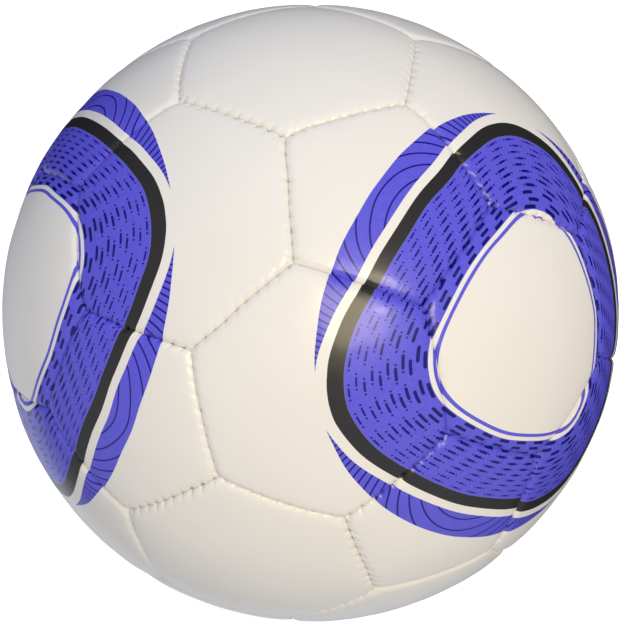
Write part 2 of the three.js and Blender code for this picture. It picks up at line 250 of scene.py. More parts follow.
def turn_to_ball_frame(vectors):
    """Puts the middle of one of the icosahedron's faces on top, and a second one at the front."""
    up = unit((1, 1, 1))
    front = np.array((1.0, -1, -1))
    front = unit(front - front @ up * up)
    right = np.cross(-front, up)
    return np.asarray(vectors, float) @ np.stack((right, -front, up), axis=1)


def from_the_top_down(panel):
    x, y, z = panel.middle
    turn = (math.atan2(x, -y) / (2 * math.pi) + 1 + FRONT_MARGIN) % 1
    return (-round(z, 2), turn)


def lay_out_panels():
    """The hexagons and the pentagons, from the top down and round from the front."""
    peaks = []
    for a in (1, -1):
        for b in (GOLDEN_RATIO, -GOLDEN_RATIO):
            peaks += [(0, b, a), (a, 0, b), (b, a, 0)]
    peaks = unit(turn_to_ball_frame(peaks))
    every = range(len(peaks))

    def corner(near, far):
        return unit(2 * peaks[near] + peaks[far])

    def close(i, j):
        return i != j and peaks[i] @ peaks[j] > NEIGHBOUR_COSINE

    pentagons = [Panel(peaks[i], [corner(i, j) for j in every if close(i, j)]) for i in every]
    hexagons = []
    for trio in combinations(every, 3):
        if all(close(i, j) for i, j in combinations(trio, 2)):
            middle = unit(sum(peaks[i] for i in trio))
            hexagons.append(Panel(middle, [corner(i, j) for i, j in permutations(trio, 2)]))
    return sorted(hexagons, key=from_the_top_down), sorted(pentagons, key=from_the_top_down)


def panel_at(panels, direction):
    return max(panels, key=lambda panel: panel.middle @ direction)


def direction_at(turn, height):
    level = math.sqrt(1 - height * height)
    turn = math.radians(turn)
    return np.array((math.sin(turn) * level, -math.cos(turn) * level, height))


# ---- Seams and their stitches ----

# A seam as one panel sees it: where it starts, the direction along it, the normal that points into
# the panel, how far from the start each stitch is, and how hard it pulls
Side = namedtuple("Side", "start along inward places pulls")


class Seam:
    """The line between two panels: its ends, its stitches as shares of it, and their pulls."""

    def __init__(self, number, start, end):
        rng = np.random.default_rng(SEAM_SEED + number)
        places = (np.arange(STITCHES_PER_SIDE) + 0.5) / STITCHES_PER_SIDE
        self.start, self.end = start, end
        self.places = places + rng.uniform(-STITCH_STRAY, STITCH_STRAY, STITCHES_PER_SIDE)
        pulls = rng.uniform(*STITCH_PULLS, STITCHES_PER_SIDE)
        self.pulls = pulls * SET_STRENGTHS.get(number, rng.uniform(*SEAM_STRENGTHS))

    def side_of(self, panel, start, end):
        inward = unit(np.cross(start, end))
        if inward @ panel.middle < 0:
            inward = -inward
        along = unit(end - end @ start * start)
        length = BALL_RADIUS * math.acos(float(start @ end))
        places = self.places if np.allclose(start, self.start) else 1 - self.places
        return Side(start, along, inward, places * length, self.pulls)


def lay_out_seams(panels):
    """Gives each panel its sides, and returns the seams in the order that panels come to them."""
    seams = {}
    for panel in panels:
        for start, end in panel.ends():
            key = frozenset(tuple(np.round(corner, 3) + 0.0) for corner in (start, end))
            if key not in seams:
                seams[key] = Seam(len(seams), start, end)
            panel.sides.append(seams[key].side_of(panel, start, end))
    return list(seams.values())


# ---- Smooth fields that make the ball slightly uneven ----

WAVE_SPREAD = (0.6, 1.5)  # how many times as closely as the wavelength says the waves may lie


def uneven(points, wavelength, seed, waves=9):
    """A smooth field over points, mostly within -1 and 1."""
    rng = np.random.default_rng(seed)
    total = np.zeros(len(points))
    for _ in range(waves):
        heading = unit(rng.normal(size=3)) * 2 * math.pi / wavelength * rng.uniform(*WAVE_SPREAD)
        total += np.sin(points @ heading + rng.uniform(0, 2 * math.pi))
    usual_size = math.sqrt(waves / 2)
    return total / usual_size / 1.6  # the sum is seldom over 1.6 times its usual size


def wander(points):
    """Shifts points a little along the surface, so that seams aren't drawn with a ruler."""
    radius = np.linalg.norm(points, axis=1, keepdims=True)
    place = points / radius * BALL_RADIUS
    shift = np.stack([uneven(place, WANDER_WAVE, seed) for seed in WANDER_SEEDS], axis=1)
    from_valve = np.linalg.norm(place - VALVE_AXIS * BALL_RADIUS, axis=1, keepdims=True)
    shift *= SEAM_WANDER * np.clip((from_valve - STILL_REACH) / STILL_EASE, 0, 1)
    return unit(place + shift) * radius


# ---- The outside of a panel ----

# What is near a direction: side is the distance from the nearest side, and rounded_side the same
# with the panel's corners rounded off. dip and gap say how hard the stitches pull there, downwards
# and apart. corner is 1 at a corner of the panel and falls off round it.
Nearness = namedtuple("Nearness", "side rounded_side dip gap corner")


def measure(panel, directions):
    side = np.full(len(directions), math.inf)
    powers, dip, gap, corner = np.zeros((4, len(directions)))
    for start, along, inward, places, pulls in panel.sides:
        distance = BALL_RADIUS * np.arcsin(np.clip(directions @ inward, -1, 1))
        travel = BALL_RADIUS * np.arctan2(directions @ along, directions @ start)
        side = np.minimum(side, distance)
        powers += np.maximum(distance, SMALLEST_DISTANCE) ** -SIDE_POWER
        beside = np.maximum(distance, 0)
        leaning = travel - PINCH_SLANT * beside
        pull = np.zeros(len(directions))
        for place, strength in zip(places, pulls):
            pull += strength * np.exp(-(((leaning - place) / PINCH_LENGTH) ** 2))
        dip += pull * np.exp(-beside / PINCH_REACH)
        gap += pull * np.exp(-beside / GAP_REACH)
    for place in panel.corners:
        apart = BALL_RADIUS * np.linalg.norm(directions - place, axis=1)
        corner += np.exp(-((apart / CORNER_REACH) ** 2))
    return Nearness(side, powers ** (-1 / SIDE_POWER), dip, gap, corner)


def cover_radius(panel, directions):
    """A crown that rolls over into the seams and is pulled in at each stitch."""
    near = measure(panel, directions)
    beside = np.maximum(near.rounded_side - LIP_GAP, 0)
    drop = LIP_DROP * (1 - np.clip(beside / LIP_WIDTH, 0, 1)) ** LIP_CURVE
    drop += CREASE_DROP * np.exp(-beside / CREASE_WIDTH)
    drop += SHOULDER_DROP * np.exp(-beside / SHOULDER_REACH)
    drop += PINCH_DROP * near.dip + CORNER_DROP * near.corner
    place = directions * BALL_RADIUS
    swell = sum(height * uneven(place, wave, seed) for height, wave, seed in SWELLS)
    height, wave, seed = PUCKER
    swell += height * uneven(place, wave, seed) * np.exp(-beside / PUCKER_REACH)
    return BALL_RADIUS - COVER_INSET - drop + swell


# ---- Panels ----


def arc_between(a, b, share):
    """Points along the great circle from a to b. share may be an array."""
    angle = math.acos(float(np.clip(a @ b, -1, 1)))
    share = np.asarray(share, float)[..., None]
    return (np.sin((1 - share) * angle) * a + np.sin(share * angle) * b) / math.sin(angle)


def reach_of(outline, middle):
    """How far each direction is from the middle, along the ball."""
    return np.arccos(np.clip(outline @ middle, -1, 1)) * BALL_RADIUS


def ring_at(middle, outline, reach):
    """Directions at a reach from the middle, each towards its point of the outline."""
    away = unit(outline - (outline @ middle)[:, None] * middle)
    angle = (reach / BALL_RADIUS * np.ones(len(outline)))[:, None]
    return np.cos(angle) * middle + np.sin(angle) * away


def drawn_in(middle, outline, inset, roundness):
    """The outline drawn in from the seam by inset, which may differ from point to point."""
    reach = reach_of(outline, middle)
    apothem = reach.min()
    panel_shaped, round_shaped = reach * (1 - inset / apothem), apothem - inset
    reach = panel_shaped * (1 - roundness) + round_shaped * roundness
    return ring_at(middle, outline, reach)


class Skin:
    """Vertices and faces of a closed surface that grows ring by ring."""

    def __init__(self):
        self.points, self.faces, self.finishes = [], [], []
        self.count = 0
        self.ring = None

    def add(self, points, finish):
        new = list(range(self.count, self.count + len(points)))
        self.points.append(points)
        self.count += len(points)
        if self.ring is not None:
            self.join(self.ring, new, finish)
        self.ring = new

    def join(self, a, b, finish):
        """Faces between two rings: one may be a single point, or have half as many points."""
        if len(a) == 1 or len(b) == 1:
            tip, ring, flip = (a[0], b, True) if len(a) == 1 else (b[0], a, False)
            for i, here in enumerate(ring):
                there = ring[(i + 1) % len(ring)]
                self.face((tip, here, there) if flip else (tip, there, here), finish)
        elif len(a) == len(b):
            for i in range(len(a)):
                j = (i + 1) % len(a)
                self.face((a[i], b[i], b[j], a[j]), finish)
        else:
            few, many, flip = (a, b, False) if len(a) < len(b) else (b, a, True)
            for i in range(len(few)):
                j = (i + 1) % len(few)
                one, two, three = many[2 * i], many[2 * i + 1], many[(2 * i + 2) % len(many)]
                for face in ((few[i], one, two), (few[i], two, few[j]), (few[j], two, three)):
                    self.face(face[::-1] if flip else face, finish)

    def face(self, face, finish):
        self.faces.append(face)
        self.finishes.append(finish)


COVER, LINING = 0, 1


def panel_skin(panel, has_hole):
    """From the outside's middle to the seam, down the turned-in edge, and back along the lining."""
    sides = [
        arc_between(start, end, np.arange(STEPS_PER_SIDE) / STEPS_PER_SIDE)
        for start, end in panel.ends()
    ]
    outline, middle = np.concatenate(sides), panel.middle
    pull = measure(panel, outline).gap
    nearest = HOLE_CLEARANCE if has_hole else MIDDLE_CLEARANCE
    inner_rings = [d for d in QUARTER_RINGS if reach_of(outline, middle).min() - d > nearest]
    skin = Skin()

    def ring(inset, step=1, roundness=0.0):
        return drawn_in(middle, outline[::step], inset, roundness)

    def hole_ring(reach):
        return ring_at(middle, outline[::QUARTER], reach)

    def on_cover(directions):
        return directions * cover_radius(panel, directions)[:, None]

    def outside(inset, step=1, roundness=0.0):
        spread = PINCH_GAP * pull[::step] * np.exp(-inset / GAP_REACH)
        return on_cover(ring(inset + spread, step, roundness))

    def roundness_at(inset):
        return min(1, max(0, (inset - ROUND_FROM) / ROUND_OVER))

    if has_hole:
        mouth = np.linalg.norm(on_cover(hole_ring(HOLE_RADIUS + RIM_ROUNDING)), axis=1)
        for depth in (PANEL_THICKNESS, PANEL_THICKNESS / 2):
            skin.add(hole_ring(HOLE_RADIUS) * (BALL_RADIUS - depth), COVER)
        for turn in RIM_TURNS:
            turn = math.radians(turn)
            rim = hole_ring(HOLE_RADIUS + RIM_ROUNDING * (1 - math.cos(turn)))
            skin.add(rim * (mouth - RIM_ROUNDING * (1 - math.sin(turn)))[:, None], COVER)
        for reach in HOLE_RINGS:
            skin.add(on_cover(hole_ring(reach)), COVER)
    else:
        skin.add(on_cover(middle[None]), COVER)
    for inset in reversed(inner_rings):
        skin.add(outside(inset, QUARTER, roundness_at(inset)), COVER)
    for inset in reversed(HALF_RINGS):
        skin.add(outside(inset, HALF), COVER)
    for inset in reversed(OUTER_RINGS):
        skin.add(outside(LIP_GAP + inset), COVER)

    lip = np.linalg.norm(skin.points[-1], axis=1)
    for share in EDGE_SHARES:
        radius = lip + (ALLOWANCE_RADIUS - lip) * share
        inset = LIP_GAP + (WALL - LIP_GAP) * min(1, 2 * share)
        opened = WALL_OPENING * (1 - share * OPENING_LOSS) * pull
        skin.add(ring(inset + opened) * radius[:, None], COVER)

    far_side = WALL + ALLOWANCE_THICKNESS
    lining_edge = LINING_RADIUS - SEAM_DROP / 2
    for inset, radius in (
        (WALL + EDGE_ROUNDING, ALLOWANCE_RADIUS),
        (far_side - EDGE_ROUNDING, ALLOWANCE_RADIUS),
        (far_side, ALLOWANCE_RADIUS + EDGE_ROUNDING),
        (far_side, lining_edge - 2 * EDGE_ROUNDING),
        (far_side + 2 * EDGE_ROUNDING, lining_edge),
        *((inset, lining_edge + rise) for inset, rise in LINING_RISES),
    ):
        skin.add(ring(inset, HALF) * radius, LINING)
    for inset in inner_rings:
        skin.add(ring(inset, QUARTER, roundness_at(inset)) * LINING_RADIUS, LINING)
    if has_hole:
        for reach in reversed(HOLE_RINGS):
            skin.add(hole_ring(reach) * LINING_RADIUS, LINING)
        skin.join(skin.ring, list(range(len(outline) // QUARTER)), LINING)
    else:
        skin.add(middle[None] * LINING_RADIUS, LINING)
    return skin


def mesh_object(name, points, faces, materials, finishes=None):
    mesh = bpy.data.meshes.new(name)
    mesh.from_pydata((np.asarray(points) * MM).tolist(), [], faces)
    for material in materials:
        mesh.materials.append(material)
    if finishes is not None:
        mesh.polygons.foreach_set("material_index", finishes)
    mesh.polygons.foreach_set("use_smooth", [True] * len(mesh.polygons))
    mesh.update()
    piece = bpy.data.objects.new(name, mesh)
    bpy.context.scene.collection.objects.link(piece)
    return piece


def stands_for(piece, body, node):
    """The piece rides on the body, and takes the place of the CAD node."""
    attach(piece, body)
    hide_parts(node)


def set_attribute(piece, name, kind, values):
    attribute = piece.data.attributes.new(name, kind, "POINT")
    field = "vector" if kind == "FLOAT_VECTOR" else "value"
    attribute.data.foreach_set(field, np.asarray(values, np.float32).ravel())


def print_places(directions, centre, toward, moved):
    """Where each point lies in the motif around centre: x is towards a neighbouring hexagon."""
    x = unit(toward - toward @ centre * centre)
    y = np.cross(centre, x)
    reach = reach_of(directions, centre)
    turn = np.arctan2(directions @ y, directions @ x)
    across, along = reach * np.cos(turn) - moved @ x, reach * np.sin(turn) - moved @ y
    return np.stack((across, along, np.zeros(len(reach))), axis=1)


def print_move(name, centre, rng):
    """How far a panel's print is out of line, as a vector along the surface."""
    stray = rng.uniform(-1, 1, 3) * PRINT_DRIFT
    if name not in PRINT_MOVES:
        return stray
    east = unit(np.cross((0, 0, 1), centre))
    north = np.cross(centre, east)
    return PRINT_MOVES[name][0] * east + PRINT_MOVES[name][1] * north


# ---- Materials ----


class Field:
    """A number that varies over the surface, as a socket in a node tree."""

    def __init__(self, tree, socket):
        self.tree, self.socket = tree, socket

    def math(self, operation, *others):
        node = self.tree.nodes.new("ShaderNodeMath")
        node.operation = operation
        for i, value in enumerate((self, *others)):
            if isinstance(value, Field):
                self.tree.links.new(value.socket, node.inputs[i])
            else:
                node.inputs[i].default_value = value
        return Field(self.tree, node.outputs[0])

    def __add__(self, other):
        return self.math("ADD", other)

    def __mul__(self, other):
        return self.math("MULTIPLY", other)

    def __sub__(self, other):
        return self.math("SUBTRACT", other)

    def __truediv__(self, other):
        return self.math("DIVIDE", other)

    def over(self, limit, blur=EDGE_BLUR):
        """1 where the field is above limit, with a soft edge."""
        return ((self - limit) / blur + 0.5).math("MAXIMUM", 0.0).math("MINIMUM", 1.0)

    def under(self, limit, blur=EDGE_BLUR):
        return self.over(limit, blur) * -1 + 1

    def between(self, low, high):
        return self.over(low) * self.under(high)

    def fraction(self):
        """How far the field is above the whole number below it."""
        return self - self.math("FLOOR")

    def length_with(self, other):
        """The length of the vector that has the two fields as its parts."""
        return (self * self + other * other).math("SQRT")


def new_material(name):
    material = bpy.data.materials.new(name)
    material.use_nodes = True
    tree = material.node_tree
    return material, tree, tree.nodes["Principled BSDF"]


def object_place(tree):
    return tree.nodes.new("ShaderNodeTexCoord").outputs["Object"]


def noise(tree, per_metre, detail=2.0, roughness=0.5):
    """Soft noise between 0 and 1. per_metre is its scale."""
    node = tree.nodes.new("ShaderNodeTexNoise")
    tree.links.new(object_place(tree), node.inputs["Vector"])
    node.inputs["Scale"].default_value = per_metre
    node.inputs["Detail"].default_value = detail
    node.inputs["Roughness"].default_value = roughness
    return Field(tree, node.outputs["Fac"])


def cells(tree, per_metre):
    node = tree.nodes.new("ShaderNodeTexVoronoi")
    tree.links.new(object_place(tree), node.inputs["Vector"])
    node.inputs["Scale"].default_value = per_metre
    return Field(tree, node.outputs["Distance"])


def threads(tree, per_metre, direction):
    node = tree.nodes.new("ShaderNodeTexWave")
    node.bands_direction = direction
    tree.links.new(object_place(tree), node.inputs["Vector"])
    node.inputs["Scale"].default_value = per_metre
    return Field(tree, node.outputs["Fac"])


def blend(tree, share, low, high, kind="MIX"):
    """A colour between low and high, each a colour or a socket."""
    node = tree.nodes.new("ShaderNodeMix")
    node.data_type = "RGBA"
    node.blend_type = kind
    tree.links.new(share.socket, node.inputs["Factor"])
    for socket, value in ((node.inputs[6], low), (node.inputs[7], high)):
        if isinstance(value, tuple):
            socket.default_value = (*value, 1)
        else:
            tree.links.new(value, socket)
    return node.outputs[2]


def bump(tree, shader, height, metres, strength=1.0):
    """metres is how high the bumps are."""
    node = tree.nodes.new("ShaderNodeBump")
    node.inputs["Distance"].default_value = metres
    node.inputs["Strength"].default_value = strength
    tree.links.new(height.socket, node.inputs["Height"])
    tree.links.new(node.outputs["Normal"], shader.inputs["Normal"])


def attribute_socket(tree, name, output):
    node = tree.nodes.new("ShaderNodeAttribute")
    node.attribute_name = name
    return node.outputs[output]


def dashes_and_dots(level, turn):
    """Where the rows' marks are, and how far the rows have faded from the first one."""
    rows = (level - BAND_START) / ROW_SPACING + ROW_START
    row = rows.math("FLOOR")
    row_level = (row + ROW_MIDDLE) * ROW_SPACING + BAND_START
    across = (rows - row - 0.5) * ROW_SPACING
    # a whole number of dashes in each third of a turn
    count = (row_level * (2 * math.pi / 3 / DASH_PITCH)).math("ROUND") * 3
    pitch = row_level * (2 * math.pi) / count
    phase = turn * count / (2 * math.pi) - count / 2 + row * ROW_SHIFT + 0.5
    along = ((phase.fraction() - 0.5) * pitch).math("ABSOLUTE")

    fade = (row / FADE_ROWS).math("MINIMUM", 1.0)
    half_length = fade * -DASH_SHORTENING + DASH_HALF_LENGTH
    half_width = fade * -DASH_THINNING + DASH_HALF_WIDTH
    from_dash = (along - half_length).math("MAXIMUM", 0.0).length_with(across)
    dash = (from_dash - half_width).under(0, MARK_BLUR)
    from_dot = (along - half_length - DOT_DISTANCE).length_with(across)
    dot = from_dot.under(DOT_RADIUS, MARK_BLUR) * row.over(ROWS_BEFORE_DOTS, 0.5)
    return dash.math("MAXIMUM", dot), fade


def flowing_lines(level, turn):
    third = turn * 3 / (2 * math.pi)
    off = ((third.fraction() - 0.5) * (2 * math.pi / 3 * FLOW_RADIUS)).math("ABSOLUTE")
    sweep = (level - PALE_END) * FLOW_RISE + off * off * (off * FLOW_CURL + FLOW_BEND)
    # divided by its slope, the distance from a line is in millimetres
    rise = off * (off * (3 * FLOW_CURL) + 2 * FLOW_BEND)
    slope = (rise * rise + FLOW_RISE**2).math("SQRT")
    return ((sweep.fraction() - 0.5).math("ABSOLUTE") / slope).under(FLOW_HALF_WIDTH, MARK_BLUR)


def print_colour(tree, ground):
    """The cover's colour with the print on it, and where the print is."""
    place = tree.nodes.new("ShaderNodeSeparateXYZ")
    tree.links.new(attribute_socket(tree, "print_place", "Vector"), place.inputs[0])
    x, y = Field(tree, place.outputs[0]), Field(tree, place.outputs[1])
    reach = x.length_with(y)
    turn = y.math("ARCTAN2", x)
    thirds = (turn * 3).math("COSINE")
    sixths = (turn * 6).math("COSINE")
    level = reach / (thirds * CORNER_SWELL + sixths * CORNER_POINT + 1)

    line = level.between(WINDOW_EDGE, LINE_EDGE)
    band = level.between(BAND_START, BAND_END)
    dark = level.between(BAND_END, DARK_END)
    crescent = level.over(PALE_END) * (reach - (thirds * CRESCENT_SWELL + CRESCENT_EDGE)).under(0)
    marks, fade = dashes_and_dots(level, turn)

    mottle = noise(tree, 900, detail=3, roughness=0.6).math("POWER", 1.5)
    blue = blend(tree, mottle, BLUE, BLUE_LIGHT)
    colour = blend(tree, (line + band + crescent).math("MINIMUM", 1.0), ground, blue)
    colour = blend(tree, dark, colour, CHARCOAL)
    colour = blend(tree, marks * band, colour, blend(tree, fade, INK_DARK, INK))
    colour = blend(tree, flowing_lines(level, turn) * crescent, colour, INK)
    return colour, (band + dark + crescent).math("MINIMUM", 1.0)


def cover_material(name, printed):
    """Synthetic leather: a smooth coated face with a very fine grain, and the print in the coat."""
    material, tree, shader = new_material(name)
    colour = blend(tree, noise(tree, 14, detail=3), WHITE, WHITE_SHADE)
    rough = noise(tree, 160, roughness=0.6) * 0.08 + 0.31
    if printed:
        colour, inked = print_colour(tree, colour)
        rough = rough - inked * 0.03
    seam = Field(tree, attribute_socket(tree, "seam_distance", "Fac"))
    # painted shade: the colour is darkened close to each seam, where the crease would be shaded
    painted_shade = seam.under(PAINTED_SHADE_WIDTH, PAINTED_SHADE_BLUR) * PAINTED_SHADE_AMOUNT
    colour = blend(tree, painted_shade, colour, PAINTED_CREASE_SHADE, "MULTIPLY")
    tree.links.new(colour, shader.inputs["Base Color"])
    tree.links.new(rough.socket, shader.inputs["Roughness"])
    shader.inputs["Specular IOR Level"].default_value = 0.4
    shader.inputs["Coat Weight"].default_value = 0.3
    shader.inputs["Coat Roughness"].default_value = 0.13
    grain = cells(tree, 1500) * 0.5 + noise(tree, 2600, detail=3, roughness=0.6) * 0.5
    bump(tree, shader, grain, metres=0.00004, strength=0.5)
    return material


def lining_material():
    """Plain-woven cloth."""
    material, tree, shader = new_material("lining_cloth")
    height = threads(tree, 700, "X").math("MAXIMUM", threads(tree, 700, "Z"))
    colour = blend(tree, height, srgb(186, 178, 160), srgb(222, 215, 200))
    tree.links.new(colour, shader.inputs["Base Color"])
    shader.inputs["Roughness"].default_value = 0.9
    shader.inputs["Specular IOR Level"].default_value = 0.2
    bump(tree, shader, height, metres=0.0003)
    return material


def thread_material():
    material, tree, shader = new_material("waxed_thread")
    fibre = noise(tree, 3000, detail=3, roughness=0.7)
    colour = blend(tree, fibre, srgb(200, 195, 182), srgb(232, 228, 218))
    tree.links.new(colour, shader.inputs["Base Color"])
    shader.inputs["Roughness"].default_value = 0.6
    bump(tree, shader, fibre, metres=0.0002)
    return material


def rubber_material(name, low, high, roughness, gloss):
    """Rubber with the slight bloom that comes to its surface."""
    material, tree, shader = new_material(name)
    bloom = noise(tree, 90, detail=4, roughness=0.65)
    tree.links.new(blend(tree, bloom, low, high), shader.inputs["Base Color"])
    rough = noise(tree, 400) * 0.15 + (roughness - 0.07)
    tree.links.new(rough.socket, shader.inputs["Roughness"])
    shader.inputs["Specular IOR Level"].default_value = gloss
    bump(tree, shader, noise(tree, 1800, detail=3, roughness=0.6), metres=0.00008)
    return material


# ---- Stitching: a twisted two-ply thread under each seam, with a loop up to each stitch ----


def tube(path, side, up, radius, corners):
    """A closed tube along path. side and up are unit vectors across it at each point."""
    turns = np.arange(corners) * 2 * math.pi / corners
    rings = path[:, None] + radius * (
        np.cos(turns)[None, :, None] * side[:, None] + np.sin(turns)[None, :, None] * up[:, None]
    )
    faces = []
    for i in range(0, (len(path) - 1) * corners, corners):
        for j in range(corners):
            k = (j + 1) % corners
            faces.append((i + j, i + k, i + corners + k, i + corners + j))
    faces.append(tuple(range(corners))[::-1])
    faces.append(tuple((len(path) - 1) * corners + j for j in range(corners)))
    return rings.reshape(-1, 3), faces


def strands_of(seam):
    """The two plies, which twist a quarter of a turn from one stitch to the next."""
    shares = np.linspace(0, 1, STRAND_STEPS + 1)
    outward = arc_between(seam.start, seam.end, shares)
    across = np.repeat(unit(np.cross(seam.start, seam.end))[None], len(outward), axis=0)
    for strand in (0, math.pi):
        twist = strand + shares * math.pi * STITCHES_PER_SIDE / 2
        offset = np.cos(twist)[:, None] * across + np.sin(twist)[:, None] * outward
        path = outward * THREAD_RADIUS + STRAND_RADIUS * offset
        yield tube(path, across, outward, STRAND_RADIUS, STRAND_CORNERS)


def loops_of(seam):
    """A loop for each stitch, up between the turned-in edges and down again."""
    sideways = unit(np.cross(seam.start, seam.end))
    along = unit(seam.end - seam.start)
    turns = np.linspace(0, math.pi, LOOP_STEPS)
    top = LOOP_TOP - LOOP_BEND + LOOP_BEND * np.sin(turns)
    height = np.concatenate(([THREAD_RADIUS], top, [THREAD_RADIUS]))
    shift = np.concatenate(([-LOOP_BEND], -LOOP_BEND * np.cos(turns), [LOOP_BEND]))
    side = np.repeat(sideways[None], len(height), axis=0)
    for place in seam.places:
        foot = arc_between(seam.start, seam.end, place)
        path = foot * height[:, None] + along * shift[:, None]
        ahead = unit(np.gradient(path, axis=0))
        yield tube(path, side, np.cross(side, ahead), LOOP_RADIUS, LOOP_CORNERS)


def build_stitching(seams):
    points, faces, count = [], [], 0
    for seam in seams:
        for tube_points, tube_faces in (*strands_of(seam), *loops_of(seam)):
            points.append(tube_points)
            faces.extend(tuple(i + count for i in face) for face in tube_faces)
            count += len(tube_points)
    return np.concatenate(points), faces


# ---- Bladder and valve, turned about the valve's axis ----

ON_AXIS = 1e-6
STRAIGHT_COSINE = -0.97  # between the edges of a corner that is so near to straight that it stays
BLADDER_STEPS, BLADDER_INNER_STEPS, FLANGE_STEPS, RIB_STEPS, PATCH_STEPS = 150, 60, 8, 24, 14
RIDGE_HEIGHT, RIDGE_WIDTH = 0.25, 0.6  # the moulding line round the bladder
RIB_HEIGHT, RIB_PITCH = 0.12, 1.5  # the flange's ribs
RIB_OUTER_MARGIN, RIB_INNER_MARGIN = 0.6, 0.4
MOULDED_EDGE, THIN_EDGE = 0.35, 0.25  # how much the valve body's edges are rounded, and others
SHARP_ANGLE = 55
# The plug's face: a groove, and a small cone that leads a needle into a closed channel
GROOVE_OUTER, GROOVE_MIDDLE, GROOVE_INNER, GROOVE_DEPTH = 2.0, 1.75, 1.5, 0.15
CONE_MOUTH, MOUTH_DEPTH, CONE_THROAT, THROAT_DEPTH = 1.05, 0.05, 0.45, 0.8
CHANNEL_RADIUS, CHANNEL_DEPTH, CHANNEL_END = 0.4, 5, 5.2


def turned(name, profile, material, sides):
    """A surface of revolution. profile holds radii and heights, from axis to axis or closed."""
    turn = np.array(Vector((0, 0, 1)).rotation_difference(Vector(VALVE_AXIS)).to_matrix())
    angles = np.arange(sides) * 2 * math.pi / sides
    points, faces, rings = [], [], []
    for radius, height in profile:
        if radius < ON_AXIS:
            rings.append([len(points)])
            points.append((0, 0, height))
        else:
            rings.append(list(range(len(points), len(points) + sides)))
            points += [(radius * math.cos(t), radius * math.sin(t), height) for t in angles]
    if profile[0][0] > ON_AXIS:
        rings.append(rings[0])
    for a, b in zip(rings, rings[1:]):
        for i in range(sides):
            j = (i + 1) % sides
            face = [a[i % len(a)], a[j % len(a)], b[j % len(b)], b[i % len(b)]]
            face = tuple(dict.fromkeys(face))
            if len(face) > 2:
                faces.append(face)
    return mesh_object(name, np.array(points) @ turn.T, faces, [material])


def arc(radius, start, end, steps):
    turns = np.linspace(start, end, steps + 1)
    return [(radius * math.sin(t), radius * math.cos(t)) for t in turns]


def rounded(profile, radius, steps=4):
    """The closed profile with each sharp corner turned into a small curve."""
    result = []
    points = [np.array(p, float) for p in profile]
    for i, here in enumerate(points):
        before, after = points[i - 1] - here, points[(i + 1) % len(points)] - here
        if here[0] < ON_AXIS or unit(before) @ unit(after) < STRAIGHT_COSINE:
            result.append(tuple(here))
            continue
        # less than half of the shorter edge, so that the curve at its other end has room too
        room = min(np.linalg.norm(before), np.linalg.norm(after)) / 2.2
        size = min(radius, room)
        start, end = here + unit(before) * size, here + unit(after) * size
        for share in np.linspace(0, 1, steps + 1):
            rest = 1 - share
            result.append(tuple(rest**2 * start + 2 * share * rest * here + share**2 * end))
    return result


def bladder_profile():
    inner = BLADDER_RADIUS - BLADDER_THICKNESS
    mouth = math.asin(HOLE_RADIUS / inner)
    outside = []
    for t in np.linspace(math.pi, mouth, BLADDER_STEPS + 1):
        from_ridge = (t - math.pi / 2) * BLADDER_RADIUS
        radius = BLADDER_RADIUS + RIDGE_HEIGHT * math.exp(-((from_ridge / RIDGE_WIDTH) ** 2))
        outside.append((radius * math.sin(t), radius * math.cos(t)))
    outside[0] = (0.0, outside[0][1])
    inside = arc(inner, mouth, math.pi, BLADDER_INNER_STEPS)
    inside[-1] = (0.0, inside[-1][1])
    return outside + inside


def valve_body_profile():
    """Up the barrel, out under the ribbed flange and back, up the stem, and down the bore."""
    bore = CORE_BARB_RADIUS + GAP
    counterbore = CORE_HEAD_RADIUS + GAP
    boss = 2 * STEM_RADIUS
    top = FLANGE_RADIUS + FLANGE_THICKNESS
    edge = FLANGE_RADIUS + FLANGE_EDGE
    start, end = (math.asin(reach / FLANGE_RADIUS) for reach in (STEM_RADIUS, FLANGE_REACH))
    ribs = []
    for reach in np.linspace(FLANGE_REACH - RIB_OUTER_MARGIN, boss + RIB_INNER_MARGIN, RIB_STEPS):
        share = (FLANGE_REACH - reach) / (FLANGE_REACH - boss)
        wave = RIB_HEIGHT * math.cos(reach * 2 * math.pi / RIB_PITCH)
        radius = edge + (top - edge) * share + wave
        ribs.append((reach, math.sqrt(radius * radius - reach * reach)))
    profile = [
        (bore, BARREL_END),
        (STEM_RADIUS, BARREL_END),
        *arc(FLANGE_RADIUS, start, end, FLANGE_STEPS),
        (FLANGE_REACH, math.sqrt(edge**2 - FLANGE_REACH**2)),
        *ribs,
        (boss, math.sqrt(top**2 - boss**2)),
        (STEM_RADIUS, top + FLANGE_THICKNESS),
        (STEM_RADIUS, VALVE_FACE),
        (counterbore, VALVE_FACE),
        (counterbore, HEAD_SEAT - GAP),
        (bore, HEAD_SEAT - GAP),
    ]
    return rounded(profile, MOULDED_EDGE)


def valve_core_profile():
    """A push-in plug. A groove in its head goes round the small cone that guides a needle."""
    outline = [
        (CORE_STEM_RADIUS / 2, BARREL_END),
        (CORE_BARB_RADIUS, BARREL_END + CORE_BARB_LENGTH),
        (CORE_STEM_RADIUS, BARREL_END + 2 * CORE_BARB_LENGTH),
        (CORE_STEM_RADIUS, HEAD_SEAT),
        (CORE_HEAD_RADIUS, HEAD_SEAT),
        (CORE_HEAD_RADIUS, VALVE_FACE),
        (GROOVE_OUTER, VALVE_FACE),
        (GROOVE_MIDDLE, VALVE_FACE - GROOVE_DEPTH),
        (GROOVE_INNER, VALVE_FACE),
        (CONE_MOUTH, VALVE_FACE - MOUTH_DEPTH),
        (CONE_THROAT, VALVE_FACE - THROAT_DEPTH),
        (CHANNEL_RADIUS, VALVE_FACE - CHANNEL_DEPTH),
    ]
    return [(0.0, BARREL_END), *rounded(outline, THIN_EDGE), (0.0, VALVE_FACE - CHANNEL_END)]


